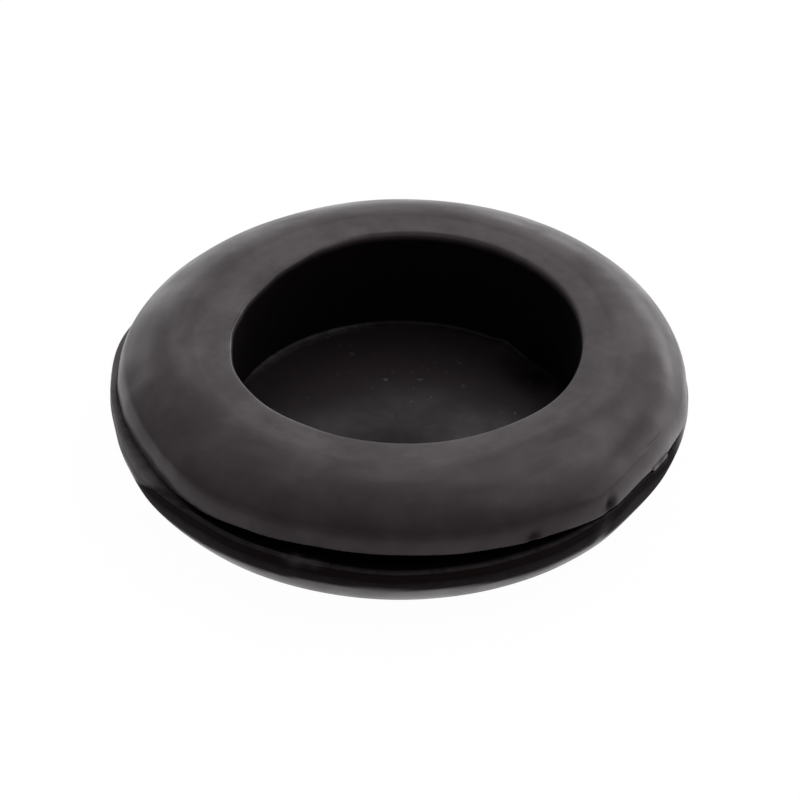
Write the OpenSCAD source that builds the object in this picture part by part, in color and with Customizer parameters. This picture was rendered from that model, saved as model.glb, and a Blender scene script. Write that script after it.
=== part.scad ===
// Closed rubber grommet, also called a blind or blanking grommet, for a round hole in a thin panel.
// It is one moulding: two flanges grip the panel between them in a groove that narrows towards
// their rims, a blind recess opens upwards inside the neck, and a flat web closes it below.
// Millimetres, +Z up. The axis is Z, and the flat underside lies on Z = 0.

/* [Panel groove] */
// Diameter of the neck, which is the panel hole that the grommet fills
neck_d = 25; // [23:0.1:27]
// Width of the groove at the neck, which is the thickness of the panel
neck_gap = 1.6; // [1.2:0.1:2.4]
// Width of the groove at the rims, narrower so that the flanges press on the panel
rim_gap = 0.65; // [0.4:0.05:1.2]
// Radius in the two corners where the groove's flanks meet the neck
root_radius = 0.3; // [0.1:0.05:0.5]

/* [Upper flange] */
// Outside diameter of the upper flange
upper_d = 30.3; // [29:0.1:33]
// Thickness of the upper flange, measured at its rim
upper_thickness = 3.1; // [2.8:0.1:4]
// Height of the upright lip around the upper flange
upper_lip = 0.8; // [0.5:0.1:1.2]
// Diameter of the flat ring on top, where the rounded shoulder begins
upper_flat_d = 22.5; // [21:0.1:24]

/* [Lower flange] */
// Outside diameter of the lower flange
lower_d = 31; // [30.5:0.1:34]
// Thickness of the lower flange, measured at its rim
lower_thickness = 4; // [3.5:0.1:4.6]
// Height of the upright lip around the lower flange
lower_lip = 0.75; // [0.5:0.05:1.2]
// Diameter of the flat underside, where the rounded shoulder begins
lower_flat_d = 22.8; // [21:0.1:25.5]
// Radius on the groove side of both lips, where the mould halves meet
lip_radius = 0.12; // [0.05:0.01:0.2]

/* [Recess] */
// Diameter of the blind recess
recess_d = 18.7; // [16:0.1:20]
// Thickness of the closed web below the recess
web = 1.85; // [1:0.05:3]
// Radius on the edge of the recess's mouth
mouth_radius = 0.2; // [0.1:0.05:0.5]
// Radius between the recess's wall and its floor
floor_radius = 0.4; // [0.1:0.05:0.8]

/* [Hidden] */
$fn = 180;

neck_r = neck_d / 2;
upper_r = upper_d / 2;
upper_flat_r = upper_flat_d / 2;
lower_r = lower_d / 2;
lower_flat_r = lower_flat_d / 2;
recess_r = recess_d / 2;
height = lower_thickness + rim_gap + upper_thickness;

// The groove's flanks lean towards each other by the same amount above and below.
flank_rise = (neck_gap - rim_gap) / 2;
lower_rim = [lower_r, lower_thickness];
lower_root = [neck_r, lower_thickness - flank_rise];
upper_root = [neck_r, lower_thickness + rim_gap + flank_rise];
upper_rim = [upper_r, lower_thickness + rim_gap];
mouth_edge = [recess_r, height];
floor_edge = [recess_r, web];

// How far a cutting shape runs past the outline that it trims
overrun = 1;
// How far a small arc bites past the edges that it rounds, so that it crosses them cleanly
bite = 0.002;

// The sliver between a sharp corner and an arc of the given radius that touches both of its
// edges, with a spill behind the corner. The edges run from the corner towards the points a
// and b, and b lies counter-clockwise from a. Taken away from a section it rounds an outer
// corner, and added to one it fills an inner corner.
module corner_sliver(corner, a, b, radius) {
    to_a = (a - corner) / norm(a - corner);
    to_b = (b - corner) / norm(b - corner);
    half_angle = acos(to_a * to_b) / 2;
    reach = radius / tan(half_angle);
    inward = (to_a + to_b) / norm(to_a + to_b);
    centre = corner + inward * radius / sin(half_angle);
    spill = corner - inward * radius;
    difference() {
        polygon([spill, corner + to_a * reach, centre, corner + to_b * reach]);
        translate(centre) circle(radius + bite);
    }
}

// What is trimmed from a square-edged flange to leave its rounded shoulder. The face lies on
// y = 0 with the flange below it, and the arc leaves the face at flat_r and meets the lip
// at rim_r, where the face has dropped by drop.
module shoulder_trim(flat_r, rim_r, drop) {
    run = rim_r - flat_r;
    radius = (run * run + drop * drop) / (2 * drop);
    difference() {
        translate([flat_r, -radius]) square([run + overrun, radius + overrun]);
        translate([flat_r, -radius]) circle(radius);
    }
}

// Half of the moulding's section with sharp corners, from the axis to the rims
module square_section() {
    polygon([
        [0, 0],
        [lower_r, 0],
        lower_rim,
        lower_root,
        upper_root,
        upper_rim,
        [upper_r, height],
        mouth_edge,
        floor_edge,
        [0, web]
    ]);
}

// The moulding's section with its shoulders, lips, groove and recess rounded
module section() {
    difference() {
        square_section();
        translate([0, height])
            shoulder_trim(upper_flat_r, upper_r, upper_thickness - upper_lip);
        mirror([0, 1])
            shoulder_trim(lower_flat_r, lower_r, lower_thickness - lower_lip);
        corner_sliver(upper_rim, [upper_r, height], upper_root, lip_radius);
        corner_sliver(lower_rim, lower_root, [lower_r, 0], lip_radius);
        corner_sliver(mouth_edge, floor_edge, [upper_r, height], mouth_radius);
    }
    corner_sliver(upper_root, lower_root, upper_rim, root_radius);
    corner_sliver(lower_root, lower_rim, upper_root, root_radius);
    corner_sliver(floor_edge, mouth_edge, [0, web], floor_radius);
}

// The whole grommet, one piece of black rubber
module grommet() {
    color([0.16, 0.15, 0.16]) rotate_extrude() section();
}

grommet();
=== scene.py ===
"""The looks of a closed rubber grommet: its moulding, its finish, and the table that it stands on.

The moulding is pulled up ring by ring from the flat underside, over the lower flange, round the
panel groove and the upper flange, and down into the blind recess. It is then given what a real
soft moulding has: flanges that wave a little, flash on the lower lip, nicks and a torn edge.
"""

import logging
import math
from dataclasses import dataclass
from enum import Enum
from typing import Callable, Iterable, Optional, Union

import bpy
from mathutils import Matrix, Vector

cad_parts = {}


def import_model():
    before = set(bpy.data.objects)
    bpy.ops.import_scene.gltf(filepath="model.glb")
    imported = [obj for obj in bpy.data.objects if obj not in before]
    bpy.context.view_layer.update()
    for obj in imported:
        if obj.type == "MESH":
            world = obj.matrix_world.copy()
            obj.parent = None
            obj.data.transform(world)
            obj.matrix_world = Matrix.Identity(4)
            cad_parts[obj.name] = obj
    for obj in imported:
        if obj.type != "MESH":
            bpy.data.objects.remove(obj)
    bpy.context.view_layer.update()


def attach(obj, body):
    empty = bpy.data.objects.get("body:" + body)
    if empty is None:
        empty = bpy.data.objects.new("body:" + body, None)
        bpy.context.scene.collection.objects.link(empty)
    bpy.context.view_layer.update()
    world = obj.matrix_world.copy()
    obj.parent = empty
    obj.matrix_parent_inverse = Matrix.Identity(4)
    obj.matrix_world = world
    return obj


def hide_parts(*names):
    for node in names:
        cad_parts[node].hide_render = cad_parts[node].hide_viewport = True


# One millimetre, in metres
MM = 0.001
# The height that the camera and the lamps are aimed at, in mm
AIM_HEIGHT = 4.0
WHITE = (1.0, 1.0, 1.0, 1.0)
LOG = logging.getLogger("grommet")

Number = Union[int, float]
Point = tuple[float, float, float]
FlatPoint = tuple[float, float]


class Layer(Enum):
    """What the mesh tells its finish, vertex by vertex: how pale to paint it, for greyed rubber
    and painted light, how much shade to paint on it, and how dull it is.
    """

    BLOOM = "bloom_and_painted_light"
    SHADE = "shade"
    DULL = "dull"


class Seam(Enum):
    """Which line round the moulding a ring belongs to, where its paleness, painted shade and
    dullness change with the angle.
    """

    NONE = "none"
    LIP = "lip"
    FLOOR = "floor"
    GROOVE = "groove"
    UPPER_LIP = "upper lip"
    LOWER_LIP = "lower lip"


def around(angle: float, radius: float, height: float) -> Vector:
    """A point given by its angle round the axis in degrees, and its radius and height in mm."""
    turn = math.radians(angle)
    return Vector((radius * math.cos(turn), radius * math.sin(turn), height)) * MM


def smooth_step(value: float) -> float:
    """Eases a value from 0 to 1, and holds it at those ends."""
    held = min(max(value, 0.0), 1.0)
    return held * held * (3.0 - 2.0 * held)


def angle_of(spot: Vector) -> float:
    """The angle of a place round the axis, in degrees from 0 to 360."""
    return math.degrees(math.atan2(spot.y, spot.x)) % 360.0


@dataclass(frozen=True)
class RimCurve:
    """Small amounts that change smoothly all the way round the axis.

    Args:
        stations: Pairs of an angle in degrees and an amount, in order.
    """

    stations: tuple[tuple[float, float], ...]

    def at(self, angle: float) -> float:
        """The amount at an angle, eased from one station to the next.

        Args:
            angle: The angle, in degrees from 0 to 360.

        Returns:
            The amount there.
        """
        first, last = self.stations[0], self.stations[-1]
        before, after = (last[0] - 360.0, last[1]), (first[0] + 360.0, first[1])
        closed = (before, *self.stations, after)
        for (start, low), (end, high) in zip(closed, closed[1:]):
            if start <= angle < end:
                return low + (high - low) * smooth_step((angle - start) / (end - start))
        return first[1]


@dataclass(frozen=True)
class Skin:
    """What the finish is told about a stretch of the moulding.

    Args:
        bloom_and_painted_light: How much paler the surface there is painted, from 0 to 1: greyed
            rubber, and painted light on some edges, ledges and the flat top.
        shade: How much painted shade darkens the surface, from 0 to 1, full inside the groove and
            the recess.
        dull: How dull it is, from 0 to 1.
        seam: The line that it belongs to.
    """

    bloom_and_painted_light: float = 0.0
    shade: float = 0.0
    dull: float = 0.0
    seam: Seam = Seam.NONE


@dataclass(frozen=True)
class Ring:
    """One ring of the moulding.

    Args:
        radius: Its distance from the axis, in mm.
        height: Its height above the underside, in mm.
        skin: What the finish is told about it.
    """

    radius: float
    height: float
    skin: Skin


@dataclass(frozen=True)
class Skins:
    """The skin of each stretch of the moulding, in the order in which they are laid.

    Args:
        underside: The edge of the flat underside, painted paler, partly as greyed rubber and
            partly as a painted reflection of the pale table.
        lower_shoulder: The lower flange's shoulder, painted a little paler in the same way.
        lower_lip: Its upright lip.
        lower_edge: The rounded edge of that lip, whose paler line is a painted highlight.
        flank_edge: The outer part of the groove's lower flank, in painted shade, and painted
            lighter at the left end.
        groove: The rest of the groove, in painted shade.
        upper_edge: The rounded edge of the upper lip.
        upper_lip: The upper lip and the crease above it.
        shoulder_dull: How dull the upper shoulder is where it leaves that crease.
        dull_fade: How much less dull each next ring of it is.
        flat: The flat ring on top, painted paler: painted light.
        mouth: The rounded mouth of the recess.
        wall: The recess's wall, in painted shade.
        floor_corner: The corner round its floor, in painted shade, with a paler line along it.
        floor: Its floor, in painted shade.
    """

    underside: Skin = Skin(bloom_and_painted_light=0.5)
    lower_shoulder: Skin = Skin(bloom_and_painted_light=0.15, dull=0.25)
    lower_lip: Skin = Skin(dull=1.0, seam=Seam.LOWER_LIP)
    lower_edge: Skin = Skin(bloom_and_painted_light=0.38, seam=Seam.LIP)
    flank_edge: Skin = Skin(bloom_and_painted_light=1.0, shade=1.0, dull=1.0, seam=Seam.GROOVE)
    groove: Skin = Skin(shade=1.0, dull=1.0)
    upper_edge: Skin = Skin(bloom_and_painted_light=0.3)
    upper_lip: Skin = Skin(dull=0.6, seam=Seam.UPPER_LIP)
    shoulder_dull: float = 0.5
    dull_fade: float = 0.06
    flat: Skin = Skin(bloom_and_painted_light=0.28)
    mouth: Skin = Skin(bloom_and_painted_light=0.1)
    wall: Skin = Skin(shade=1.0, dull=0.9)
    floor_corner: Skin = Skin(bloom_and_painted_light=0.6, shade=1.0, dull=0.8, seam=Seam.FLOOR)
    floor: Skin = Skin(shade=0.8)

    def upper_shoulder(self, place: int) -> Skin:
        """The skin of one ring of the upper shoulder.

        Args:
            place: The ring's number, counted inwards from 0.

        Returns:
            Its skin.
        """
        dull = max(self.shoulder_dull - place * self.dull_fade, 0.0)
        return Skin(dull=dull, seam=Seam.UPPER_LIP)


@dataclass(frozen=True)
class GrommetSection:
    """The half section of the moulding, in mm, from the underside round to the recess's floor.

    Args:
        neck_d: Diameter of the neck.
        neck_gap: Width of the groove at the neck.
        rim_gap: Width of the groove at the rims.
        root_radius: Radius where the groove's flanks meet the neck.
        upper_d: Outside diameter of the upper flange.
        upper_thickness: Its thickness at the rim.
        upper_lip: Height of its upright lip.
        upper_flat_d: Diameter of the flat ring on top.
        lower_d: Outside diameter of the lower flange.
        lower_thickness: Its thickness at the rim.
        lower_lip: Height of its upright lip.
        lower_flat_d: Diameter of the flat underside.
        lip_radius: Radius on the groove side of both lips.
        recess_d: Diameter of the recess.
        web: Thickness of the closed web below it.
        mouth_radius: Radius on the edge of the recess's mouth.
        floor_radius: Radius between the recess's wall and its floor.
        crease_radius: Radius between the upper lip and its shoulder.
        cap_radius: Radius of the last ring, which is drawn together to a point.
        flank_edge_rings: How many rings the outer part of the lower flank has.
        crease_rings: How many rings of the upper shoulder the softer crease replaces.
        skins: The skins of its stretches.
    """

    neck_d: float = 25.0
    neck_gap: float = 1.6
    rim_gap: float = 0.65
    root_radius: float = 0.3
    upper_d: float = 30.3
    upper_thickness: float = 3.1
    upper_lip: float = 0.8
    upper_flat_d: float = 22.5
    lower_d: float = 31.0
    lower_thickness: float = 4.0
    lower_lip: float = 0.75
    lower_flat_d: float = 22.8
    lip_radius: float = 0.12
    recess_d: float = 18.7
    web: float = 1.85
    mouth_radius: float = 0.25
    floor_radius: float = 0.15
    crease_radius: float = 2.4
    cap_radius: float = 0.25
    flank_edge_rings: int = 3
    crease_rings: int = 4
    skins: Skins = Skins()

    @property
    def height(self) -> float:
        """The height of the whole moulding."""
        return self.lower_thickness + self.rim_gap + self.upper_thickness

    @property
    def flank_rise(self) -> float:
        """How far each flank of the groove leans towards the other."""
        return (self.neck_gap - self.rim_gap) / 2

    @property
    def lower_foot(self) -> float:
        """The height at which the lower flange's lip begins."""
        return self.lower_thickness - self.lower_lip

    @staticmethod
    def arc(
        centre: FlatPoint, radius: float, start: float, end: float, steps: int
    ) -> list[FlatPoint]:
        """Points on an arc of the section, without its first one.

        Args:
            centre: Radius and height of the arc's centre.
            radius: The arc's own radius.
            start: Angle of its first point, in degrees from straight outwards.
            end: Angle of its last point.
            steps: How many points are returned.

        Returns:
            Pairs of radius and height.
        """
        turns = [math.radians(start + (end - start) * i / steps) for i in range(1, steps + 1)]
        return [
            (centre[0] + radius * math.cos(turn), centre[1] + radius * math.sin(turn))
            for turn in turns
        ]

    @staticmethod
    def line(start: FlatPoint, end: FlatPoint, steps: int) -> list[FlatPoint]:
        """Points on a straight run of the section, without its first one.

        Args:
            start: Where the run begins.
            end: Where it ends.
            steps: How many points are returned.

        Returns:
            Pairs of radius and height.
        """
        return [
            (
                start[0] + (end[0] - start[0]) * i / steps,
                start[1] + (end[1] - start[1]) * i / steps,
            )
            for i in range(1, steps + 1)
        ]

    @staticmethod
    def fillet(
        corner: FlatPoint, before: FlatPoint, after: FlatPoint, radius: float, steps: int
    ) -> list[FlatPoint]:
        """Rounds one corner of the section.

        Args:
            corner: The sharp corner.
            before: A point on the edge that comes to the corner.
            after: A point on the edge that leaves it.
            radius: Radius of the rounding.
            steps: How many spans the rounding has.

        Returns:
            The points of the rounding, from one touching point to the other.
        """
        apex = Vector(corner)
        back = (Vector(before) - apex).normalized()
        ahead = (Vector(after) - apex).normalized()
        half = math.acos(max(-1.0, min(1.0, back.dot(ahead)))) / 2
        centre = apex + (back + ahead).normalized() * radius / math.sin(half)
        reach = radius / math.tan(half)
        first, last = apex + back * reach - centre, apex + ahead * reach - centre
        sweep = math.acos(max(-1.0, min(1.0, first.dot(last) / radius**2)))
        points = []
        for i in range(steps + 1):
            part = sweep * i / steps
            spoke = first * math.sin(sweep - part) + last * math.sin(part)
            points.append(tuple(centre + spoke / math.sin(sweep)))
        return points

    @staticmethod
    def shoulder(flat_r: float, rim_r: float, drop: float) -> tuple[float, float]:
        """The radius of a flange's shoulder and the angle through which it falls.

        Args:
            flat_r: Radius of the flat face that the shoulder leaves.
            rim_r: Radius of the lip that it meets.
            drop: How far it falls on the way.

        Returns:
            The shoulder's radius in mm and its angle in degrees.
        """
        run = rim_r - flat_r
        radius = (run * run + drop * drop) / (2 * drop)
        return radius, math.degrees(math.asin(run / radius))

    def rings(self) -> list[Ring]:
        """Lays out the rings from the underside's edge, round the moulding, to the recess's floor.

        Returns:
            All of the moulding's rings, in order.
        """
        skins = self.skins
        neck_r, recess_r = self.neck_d / 2, self.recess_d / 2
        low_r, low_flat = self.lower_d / 2, self.lower_flat_d / 2
        up_r, up_flat = self.upper_d / 2, self.upper_flat_d / 2
        low_top, up_bottom = self.lower_thickness, self.lower_thickness + self.rim_gap
        low_root = (neck_r, low_top - self.flank_rise)
        up_root = (neck_r, up_bottom + self.flank_rise)
        low_foot, low_rim = (low_r, self.lower_foot), (low_r, low_top)
        up_rim, up_crease = (up_r, up_bottom), (up_r, up_bottom + self.upper_lip)
        flat_edge, mouth = (up_flat, self.height), (recess_r, self.height)
        floor_edge, floor_middle = (recess_r, self.web), (0.0, self.web)

        def laid(points: Iterable[FlatPoint], skin: Skin) -> list[Ring]:
            """Makes rings of plain points, all with the same skin."""
            return [Ring(radius, height, skin) for radius, height in points]

        rings = [Ring(low_flat, 0.0, skins.underside)]
        radius, fall = self.shoulder(low_flat, low_r, self.lower_foot)
        low_shoulder = self.arc((low_flat, radius), radius, -90, fall - 90, steps=22)
        rings += laid(low_shoulder, skins.lower_shoulder)
        low_round = self.fillet(low_rim, low_foot, low_root, self.lip_radius, steps=4)
        rings += laid(self.line(low_foot, low_round[0], steps=5), skins.lower_lip)
        rings += laid(low_round[1:], skins.lower_edge)

        low_dip = self.fillet(low_root, low_rim, up_root, self.root_radius, steps=4)
        flank = self.line(low_round[-1], low_dip[0], steps=9)
        rings += laid(flank[: self.flank_edge_rings], skins.flank_edge)
        rings += laid(flank[self.flank_edge_rings :], skins.groove)
        rings += laid(low_dip[1:], skins.groove)
        up_dip = self.fillet(up_root, low_root, up_rim, self.root_radius, steps=4)
        rings += laid(self.line(low_dip[-1], up_dip[0], steps=4), skins.groove)
        rings += laid(up_dip[1:], skins.groove)
        up_round = self.fillet(up_rim, up_root, up_crease, self.lip_radius, steps=4)
        rings += laid(self.line(up_dip[-1], up_round[0], steps=8), skins.groove)
        rings += laid(up_round[1:], skins.upper_edge)

        radius, fall = self.shoulder(up_flat, up_r, self.upper_thickness - self.upper_lip)
        centre = (up_flat, self.height - radius)
        up_shoulder = self.arc(centre, radius, 90 - fall, 90, steps=28)
        up_soft = self.fillet(up_crease, up_round[-1], up_shoulder[1], self.crease_radius, steps=6)
        rings += laid(self.line(up_round[-1], up_soft[0], steps=4), skins.upper_lip)
        rings += laid(up_soft[1:], skins.upper_lip)
        for place, point in enumerate(up_shoulder[self.crease_rings :]):
            rings += laid([point], skins.upper_shoulder(place))

        mouth_round = self.fillet(mouth, flat_edge, floor_edge, self.mouth_radius, steps=5)
        rings += laid(self.line(flat_edge, mouth_round[0], steps=7), skins.flat)
        rings += laid(mouth_round[1:], skins.mouth)
        floor_round = self.fillet(floor_edge, mouth, floor_middle, self.floor_radius, steps=5)
        rings += laid(self.line(mouth_round[-1], floor_round[0], steps=20), skins.wall)
        rings += laid(floor_round[1:], skins.floor_corner)
        cap_edge = (self.cap_radius, self.web)
        rings += laid(self.line(floor_round[-1], cap_edge, steps=22), skins.floor)
        return rings


@dataclass(frozen=True)
class Lean:
    """How far the rings stand off the axis, as in a soft moulding that has been pressed askew.

    Args:
        rim: Sideways shift at the upper flange's rim, in mm.
        top: Shift at the flat top.
        mouth: Shift of the recess's mouth.
        floor: Shift of the recess's floor.
        near: How close two sizes are when they count as the same, in mm.
        hair: The same for the recess's radius.
    """

    rim: float = 0.10
    top: float = 0.20
    mouth: float = 0.50
    floor: float = 0.28
    near: float = 0.01
    hair: float = 0.001

    def at(self, ring: Ring, section: GrommetSection) -> float:
        """The shift of one ring.

        Args:
            ring: The ring.
            section: The section that it belongs to.

        Returns:
            The sideways shift of its centre, in mm.
        """
        recess_r, flat_r = section.recess_d / 2, section.upper_flat_d / 2
        low = section.lower_thickness
        if ring.height < low + self.near and ring.radius > recess_r + self.near:
            return 0.0
        if ring.radius <= recess_r + self.hair:
            up = smooth_step((ring.height - section.web) / (section.height - section.web))
            return self.floor + (self.mouth - self.floor) * up
        on_top = ring.height > section.height - section.mouth_radius - self.near
        if on_top and ring.radius < flat_r:
            inwards = smooth_step((flat_r - ring.radius) / (flat_r - recess_r))
            return self.top + (self.mouth - self.top) * inwards
        rise = (ring.height - low) / (section.height - low)
        return self.rim + (self.top - self.rim) * smooth_step(rise)


class MouldedMesh:
    """One mesh object that is shaped step by step: extrusions, pushes, nicks and flash."""

    def __init__(self, name: str) -> None:
        """Keeps the name that the finished piece will have."""
        self.name = name
        self.piece: Optional[bpy.types.Object] = None

    def begin(self, radius: float, height: float, sides: int) -> None:
        """Starts the piece from one flat disc and stays in edit mode.

        Args:
            radius: Radius of the disc, in mm.
            height: Its height, in mm.
            sides: How many corners it has.
        """
        self._drop_selection()
        bpy.ops.mesh.primitive_circle_add(
            vertices=sides,
            radius=radius * MM,
            fill_type="NGON",
            location=(0.0, 0.0, height * MM),
        )
        self.piece = bpy.context.object
        self.piece.name = self.name
        self.piece.data.name = self.name
        bpy.ops.object.transform_apply(location=True, rotation=True, scale=True)
        bpy.ops.object.mode_set(mode="EDIT")
        bpy.ops.mesh.select_all(action="SELECT")

    def pull_ring(self, lift: float, slide: float, scale: float, centre: Vector) -> None:
        """Extrudes the selected cap by one ring.

        Args:
            lift: How far the cap rises, in mm.
            slide: How far it moves sideways, in mm.
            scale: How much it grows about its new centre.
            centre: That centre, in metres.
        """
        bpy.ops.mesh.extrude_region_move(
            TRANSFORM_OT_translate={"value": (slide * MM, 0.0, lift * MM)}
        )
        bpy.ops.transform.resize(value=(scale, scale, 1.0), center_override=centre)

    def close_cap(self) -> None:
        """Brings the last cap to one point at its middle, and leaves edit mode."""
        bpy.ops.mesh.merge(type="CENTER")
        self.leave()

    def leave(self) -> None:
        """Leaves edit mode."""
        bpy.ops.object.mode_set(mode="OBJECT")

    def push(
        self, place: Vector, move: Point, reach: float, felt: Callable[[Vector], bool]
    ) -> None:
        """Pushes the surface at one place, and less and less around it, as a thumb would.

        Args:
            place: Where it is pushed, in metres.
            move: How far, in mm.
            reach: How far the push is felt, in mm.
            felt: Says of a place in metres whether it can move at all.
        """
        mesh = self.piece.data
        held = [not felt(vertex.co) for vertex in mesh.vertices]
        free = [vertex for vertex in mesh.vertices if not held[vertex.index]]
        distances = [(vertex.co - place).length_squared for vertex in free]
        self._select_point(free[distances.index(min(distances))].index)
        mesh.vertices.foreach_set("hide", held)
        bpy.ops.object.mode_set(mode="EDIT")
        bpy.ops.mesh.select_mode(type="VERT")
        bpy.ops.transform.translate(
            value=tuple(part * MM for part in move),
            use_proportional_edit=True,
            proportional_edit_falloff="SMOOTH",
            proportional_size=reach * MM,
        )
        bpy.ops.mesh.reveal(select=False)
        self.leave()

    def bend(self, shift: Callable[[Vector], Vector], least: float = 1e-4) -> None:
        """Moves the whole surface by amounts that change smoothly from place to place.

        Args:
            shift: Takes a place in metres and gives its move in mm.
            least: The smallest move that counts, in mm.
        """
        self._take_up()
        shifts = [shift(vertex.co) for vertex in self.piece.data.vertices]
        for axis, letter in enumerate("XYZ"):
            for sign in (1.0, -1.0):
                parts = [sign * move[axis] for move in shifts]
                largest = max(parts)
                if largest < least:
                    continue
                group = self.piece.vertex_groups.new(name="bend")
                for index, part in enumerate(parts):
                    if part > 0.0:
                        group.add([index], part / largest, "REPLACE")
                pusher = self.piece.modifiers.new("bend", "DISPLACE")
                pusher.vertex_group = group.name
                pusher.direction = letter
                pusher.mid_level = 0.0
                pusher.strength = sign * largest * MM
                bpy.ops.object.modifier_apply(modifier=pusher.name)
                self.piece.vertex_groups.clear()

    def paint(self, layer: Layer, place: Vector, reach: float, strength: float) -> None:
        """Adds to one of the finish's layers round a place.

        Args:
            layer: The layer.
            place: The middle of the dab, in metres.
            reach: Its radius, in mm.
            strength: What is added at its middle.
        """
        mesh = self.piece.data
        values = mesh.attributes[layer.value].data
        for vertex in mesh.vertices:
            near = 1.0 - (vertex.co - place).length / (reach * MM)
            if near > 0.0:
                held = values[vertex.index].value + strength * smooth_step(near)
                values[vertex.index].value = min(max(held, 0.0), 1.0)

    def refine(self, test: Callable[[Vector, Vector], bool]) -> None:
        """Splits the faces that pass a test into four.

        Args:
            test: Takes a face's middle in metres and its normal.
        """
        self._select_faces(test)
        self._edit_faces()
        bpy.ops.mesh.subdivide(number_cuts=1)
        self.leave()

    def pull_faces(
        self,
        test: Callable[[Vector, Vector], bool],
        moves: Iterable[tuple[Point, float]],
    ) -> None:
        """Extrudes the faces that pass a test, in one or more short pulls.

        Args:
            test: Takes a face's middle in metres and its normal.
            moves: For each pull, its move in mm and how much the faces grow in it.
        """
        if self._select_faces(test) == 0:
            LOG.warning("no face was found to pull")
            return
        self._edit_faces()
        for move, scale in moves:
            bpy.ops.mesh.extrude_region_move(
                TRANSFORM_OT_translate={"value": tuple(part * MM for part in move)}
            )
            picked = self._picked_points()
            centre = sum(picked, Vector()) / max(len(picked), 1)
            bpy.ops.transform.resize(value=(scale,) * 3, center_override=centre)
        self.leave()

    def finish_normals(self, crease: float) -> None:
        """Turns every face outwards and shades the piece smooth, apart from sharp creases.

        Args:
            crease: The angle in degrees past which an edge stays sharp.
        """
        self._take_up()
        bpy.ops.object.mode_set(mode="EDIT")
        bpy.ops.mesh.select_all(action="SELECT")
        bpy.ops.mesh.normals_make_consistent(inside=False)
        self.leave()
        bpy.ops.object.shade_smooth_by_angle(angle=math.radians(crease))

    @staticmethod
    def _drop_selection() -> None:
        """Deselects every object."""
        for thing in bpy.context.selected_objects:
            thing.select_set(False)

    def _take_up(self) -> None:
        """Selects the piece and nothing else, and makes it the active one."""
        self._drop_selection()
        self.piece.select_set(True)
        bpy.context.view_layer.objects.active = self.piece

    def _select_point(self, index: int) -> None:
        """Selects one vertex and nothing else.

        Args:
            index: The vertex's number.
        """
        mesh = self.piece.data
        for parts in (mesh.polygons, mesh.edges, mesh.vertices):
            parts.foreach_set("select", [False] * len(parts))
        mesh.vertices[index].select = True

    def _select_faces(self, test: Callable[[Vector, Vector], bool]) -> int:
        """Selects the faces that pass a test on their middle and their normal.

        Args:
            test: Takes a face's middle in metres and its normal.

        Returns:
            How many were selected.
        """
        mesh = self.piece.data
        for parts in (mesh.vertices, mesh.edges):
            parts.foreach_set("select", [False] * len(parts))
        chosen = [test(face.center, face.normal) for face in mesh.polygons]
        mesh.polygons.foreach_set("select", chosen)
        return sum(chosen)

    @staticmethod
    def _edit_faces() -> None:
        """Enters edit mode on the faces that were selected."""
        bpy.ops.object.mode_set(mode="EDIT")
        bpy.ops.mesh.select_mode(type="FACE")

    def _picked_points(self) -> list[Vector]:
        """Reads where the selected vertices are, while in edit mode.

        Returns:
            Their places, in metres.
        """
        self.piece.update_from_editmode()
        return [vertex.co.copy() for vertex in self.piece.data.vertices if vertex.select]


class Signal:
    """A value or colour on its way through a material, on which Python's operators work."""

    def __init__(self, graph: "NodeGraph", socket: bpy.types.NodeSocket) -> None:
        """Wraps one output socket of a graph."""
        self.graph = graph
        self.socket = socket

    def _joined(self, operation: str, *values: Union["Signal", Number]) -> "Signal":
        """Adds one Math node.

        Args:
            operation: What it does.
            values: What it works on, in order.

        Returns:
            Its result.
        """
        sockets = dict(enumerate(values))
        return self.graph.signal("ShaderNodeMath", 0, {"operation": operation}, sockets)

    def __add__(self, other: Union["Signal", Number]) -> "Signal":
        """The sum of two values."""
        return self._joined("ADD", self, other)

    def __radd__(self, other: Number) -> "Signal":
        """The sum of a number and a value."""
        return self._joined("ADD", other, self)

    def __rsub__(self, other: Number) -> "Signal":
        """A number less a value."""
        return self._joined("SUBTRACT", other, self)

    def __mul__(self, other: Union["Signal", Number]) -> "Signal":
        """The product of two values."""
        return self._joined("MULTIPLY", self, other)

    def __rmul__(self, other: Number) -> "Signal":
        """The product of a number and a value."""
        return self._joined("MULTIPLY", other, self)

    def __truediv__(self, other: Union["Signal", Number]) -> "Signal":
        """The quotient of two values."""
        return self._joined("DIVIDE", self, other)

    def root(self) -> "Signal":
        """The square root."""
        return self._joined("SQRT", self)

    def fade(self, start: float, end: float) -> "Signal":
        """Runs smoothly from 0 to 1 as the value goes from one level to another.

        Args:
            start: The level at which the result is 0.
            end: The level at which it is 1.

        Returns:
            The result, which is held at those ends.
        """
        return self.graph.signal(
            "ShaderNodeMapRange",
            "Result",
            {"interpolation_type": "SMOOTHSTEP", "clamp": True},
            {"Value": self, "From Min": start, "From Max": end},
        )


@dataclass(frozen=True)
class Texture:
    """One layer of soft noise.

    Args:
        scale: How many of its features there are to the metre, or to the unit of wound places.
        detail: How many finer layers it holds.
        span: The levels of the noise at which it begins to show and shows in full.
    """

    scale: float
    detail: float
    span: FlatPoint = (0.0, 1.0)


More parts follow.
